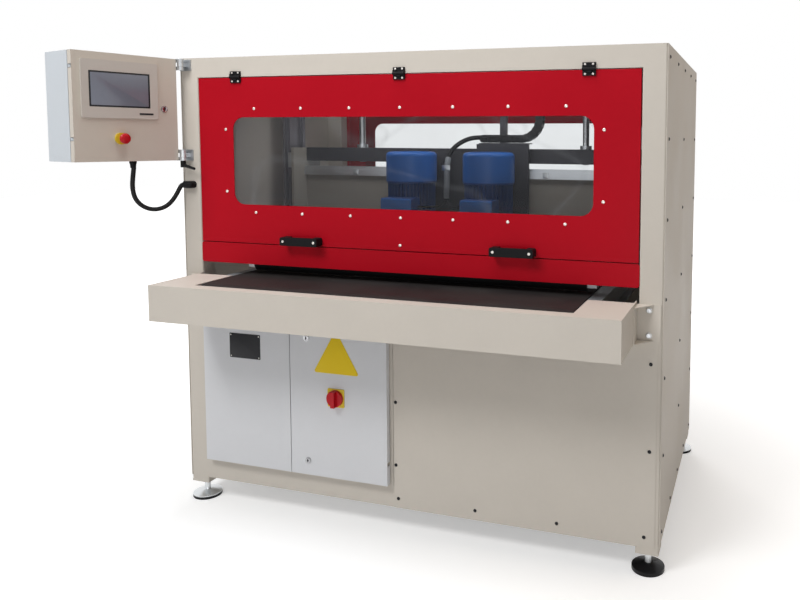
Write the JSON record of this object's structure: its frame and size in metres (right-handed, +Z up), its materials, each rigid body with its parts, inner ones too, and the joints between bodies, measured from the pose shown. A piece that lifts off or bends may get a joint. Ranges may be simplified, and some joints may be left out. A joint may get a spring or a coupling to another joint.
{
  "type": "sheet metal deburring machine",
  "caption": "Through-feed deburring machine: conveyor belt under a traversing twin brush head in a guarded frame with windowed doors, swivelling control box and cabinet.",
  "frame": {"origin": "on the floor, under the middle of the bounding box", "axes": "+Z up, +X along the width to the operator's right, the operator's side towards -Y"},
  "size_m": [1.9384, 1.6182, 1.632],
  "materials": {
    "frame_paint": "satin powder coat, warm light grey",
    "door_red": "satin powder coat, deep red",
    "clear_sheet": "clear polished sheet",
    "black_fittings": "fine moulded texture",
    "black_screws": "black oxide",
    "zinc_steel": "zinc plated, brushed",
    "belt_rubber": "fine fabric-backed grip surface",
    "cabinet_paint": "satin powder coat, bluish white",
    "cabinet_parts": "galvanised plate with moulded devices",
    "cast_bearing": "painted casting",
    "cable_black": "smooth cable sheath",
    "box_side_paint": "satin powder coat, pale blue",
    "box_face_paint": "satin powder coat, grey beige",
    "panel_plastic": "fine moulded texture",
    "stop_red": "moulded gloss",
    "stop_yellow": "moulded gloss",
    "lock_chrome": "polished plating",
    "isolator_red": "moulded gloss",
    "roller_steel": "turned steel",
    "roller_rubber": "ground rubber sleeve",
    "beam_dark": "semi-matt dark grey paint",
    "beam_light": "satin beige paint",
    "rail_aluminium": "anodised extrusion",
    "chain_plastic": "moulded links",
    "motor_blue": "semi-gloss enamel on castings",
    "conduit_grey": "ribbed flexible conduit",
    "brush_abrasive": "abrasive cloth flaps"
  },
  "bodies": {
    "machine": {"frame": "frame_paint", "lift_guides": "zinc_steel", "outer_panels": "frame_paint", "lower_guards": "door_red", "panel_screws": "black_screws", "levelling_feet": "zinc_steel", "table_covers": "frame_paint", "apron_brackets": "frame_paint", "table_frame": "zinc_steel", "conveyor_belt": "belt_rubber", "roller_bearings": "cast_bearing", "cabinet_shell": "frame_paint", "electrical_plate": "cabinet_parts", "door_hinge_leaves": "black_fittings", "post_brackets": "zinc_steel", "cable_glands": "black_fittings", "control_cable": "cable_black", "hold_down_guides": "zinc_steel", "extraction_spigot": "zinc_steel"},
    "front_door": {"front_door_panel": "door_red", "front_window": "clear_sheet", "front_door_fittings": "black_fittings"},
    "rear_door": {"rear_door_panel": "door_red", "rear_window": "clear_sheet", "rear_door_fittings": "black_fittings"},
    "control_box": {"box_shell": "box_side_paint", "box_brackets": "zinc_steel", "box_gland": "black_fittings"},
    "control_box_door": {"box_door_panel": "box_face_paint", "touch_panel": "panel_plastic", "estop_collar": "stop_yellow"},
    "stop_button": {"estop_button": "stop_red"},
    "key_lock": {"box_lock": "lock_chrome"},
    "clamp_lever": {"clamp_lever": "black_fittings"},
    "left_cabinet_door": {"left_leaf": "cabinet_paint"},
    "right_cabinet_door": {"right_leaf": "cabinet_paint"},
    "isolator": {"isolator_handle": "isolator_red"},
    "upper_lock": {"upper_cam_lock": "lock_chrome"},
    "lower_lock": {"lower_cam_lock": "lock_chrome"},
    "drive_roller": {"drive_roller": "roller_steel"},
    "tail_roller": {"tail_roller": "roller_steel"},
    "front_hold_down": {"front_hold_down": "zinc_steel"},
    "front_hold_roller": {"front_hold_roller": "roller_rubber"},
    "rear_hold_down": {"rear_hold_down": "zinc_steel"},
    "rear_hold_roller": {"rear_hold_roller": "roller_rubber"},
    "gantry": {"upper_beam": "beam_dark", "lower_beam": "beam_light", "lift_blocks": "zinc_steel", "traverse_rails": "rail_aluminium", "energy_chain": "chain_plastic"},
    "left_lift_screw": {"left_lift_screw": "roller_steel"},
    "right_lift_screw": {"right_lift_screw": "roller_steel"},
    "carriage": {"carriage_plate": "beam_dark", "carriage_blocks": "zinc_steel", "motors": "motor_blue", "motor_cowls": "motor_blue", "spindle_housings": "cast_bearing", "motor_conduit": "conduit_grey"},
    "left_brush": {"left_brush": "brush_abrasive"},
    "right_brush": {"right_brush": "brush_abrasive"}
  },
  "joints": [
    {"name": "front_door_hinge", "type": "hinge", "parent": "machine", "child": "front_door", "pos_m": [0.11616, -0.45486, 1.5035], "axis": [-1, 0, 0], "range_deg": [0, 90]},
    {"name": "rear_door_hinge", "type": "hinge", "parent": "machine", "child": "rear_door", "pos_m": [0.11616, 0.55714, 1.5035], "axis": [1, 0, 0], "range_deg": [0, 90]},
    {"name": "box_swivel", "type": "hinge", "parent": "machine", "child": "control_box", "pos_m": [-0.69984, -0.47486, 1.393], "axis": [0, 0, 1], "range_deg": [-25, 17], "deforming": ["control_cable"]},
    {"name": "box_door_hinge", "type": "hinge", "parent": "control_box", "child": "control_box_door", "pos_m": [-0.82396, -0.79872, 1.393], "axis": [0, 0, 1], "range_deg": [-100, 0]},
    {"name": "stop_button_press", "type": "slide", "parent": "control_box_door", "child": "stop_button", "axis": [-0.9563, 0.2924, 0], "range_m": [0, 0.005]},
    {"name": "key_lock_turn", "type": "hinge", "parent": "control_box_door", "child": "key_lock", "pos_m": [-0.72474, -0.52894, 1.394], "axis": [-0.9563, 0.2924, 0], "range_deg": [0, 90]},
    {"name": "clamp_lever_turn", "type": "hinge", "parent": "machine", "child": "clamp_lever", "pos_m": [-0.69984, -0.47486, 1.207], "axis": [0, 0, 1], "range_deg": [-90, 0]},
    {"name": "left_cabinet_hinge", "type": "hinge", "parent": "machine", "child": "left_cabinet_door", "pos_m": [-0.62684, -0.46486, 0.432], "axis": [0, 0, -1], "range_deg": [0, 105]},
    {"name": "right_cabinet_hinge", "type": "hinge", "parent": "machine", "child": "right_cabinet_door", "pos_m": [0.06516, -0.46486, 0.432], "axis": [0, 0, 1], "range_deg": [0, 105]},
    {"name": "isolator_turn", "type": "hinge", "parent": "right_cabinet_door", "child": "isolator", "pos_m": [-0.11184, -0.47886, 0.439], "axis": [0, 1, 0], "range_deg": [0, 90]},
    {"name": "upper_lock_turn", "type": "hinge", "parent": "right_cabinet_door", "child": "upper_lock", "pos_m": [-0.22184, -0.47386, 0.633], "axis": [0, 1, 0], "range_deg": [0, 90]},
    {"name": "lower_lock_turn", "type": "hinge", "parent": "right_cabinet_door", "child": "lower_lock", "pos_m": [-0.22184, -0.47386, 0.212], "axis": [0, 1, 0], "range_deg": [0, 90]},
    {"name": "drive_spin", "type": "hinge", "parent": "machine", "child": "drive_roller", "pos_m": [0.11616, 0.71614, 0.7847], "axis": [1, 0, 0], "continuous": true},
    {"name": "tail_spin", "type": "hinge", "parent": "machine", "child": "tail_roller", "pos_m": [0.11616, -0.61386, 0.7847], "axis": [1, 0, 0], "continuous": true},
    {"name": "front_hold_lift", "type": "slide", "parent": "machine", "child": "front_hold_down", "axis": [0, 0, 1], "range_m": [0, 0.012]},
    {"name": "front_hold_spin", "type": "hinge", "parent": "front_hold_down", "child": "front_hold_roller", "pos_m": [0.11616, -0.36886, 0.857], "axis": [1, 0, 0], "continuous": true},
    {"name": "rear_hold_lift", "type": "slide", "parent": "machine", "child": "rear_hold_down", "axis": [0, 0, 1], "range_m": [0, 0.012]},
    {"name": "rear_hold_spin", "type": "hinge", "parent": "rear_hold_down", "child": "rear_hold_roller", "pos_m": [0.11616, 0.47114, 0.857], "axis": [1, 0, 0], "continuous": true},
    {"name": "height_adjust", "type": "slide", "parent": "machine", "child": "gantry", "axis": [0, 0, 1], "range_m": [0, 0.05]},
    {"name": "left_screw_turn", "type": "hinge", "parent": "machine", "child": "left_lift_screw", "pos_m": [-0.35384, 0.15114, 1.35], "axis": [0, 0, 1], "continuous": true},
    {"name": "right_screw_turn", "type": "hinge", "parent": "machine", "child": "right_lift_screw", "pos_m": [0.58616, 0.15114, 1.35], "axis": [0, 0, 1], "continuous": true},
    {"name": "head_traverse", "type": "slide", "parent": "gantry", "child": "carriage", "axis": [1, 0, 0], "range_m": [-0.3, 0.3], "deforming": ["energy_chain"]},
    {"name": "left_brush_spin", "type": "hinge", "parent": "carriage", "child": "left_brush", "pos_m": [-0.04884, -0.02286, 0.94], "axis": [0, 0, 1], "continuous": true},
    {"name": "right_brush_spin", "type": "hinge", "parent": "carriage", "child": "right_brush", "pos_m": [0.26116, -0.02286, 0.94], "axis": [0, 0, 1], "continuous": true}
  ],
  "couplings": [
    {"joint": "tail_spin", "follows": "drive_spin", "ratio": 1},
    {"joint": "left_screw_turn", "follows": "height_adjust", "rad_per_m": 1256.6},
    {"joint": "right_screw_turn", "follows": "height_adjust", "rad_per_m": 1256.6}
  ]
}
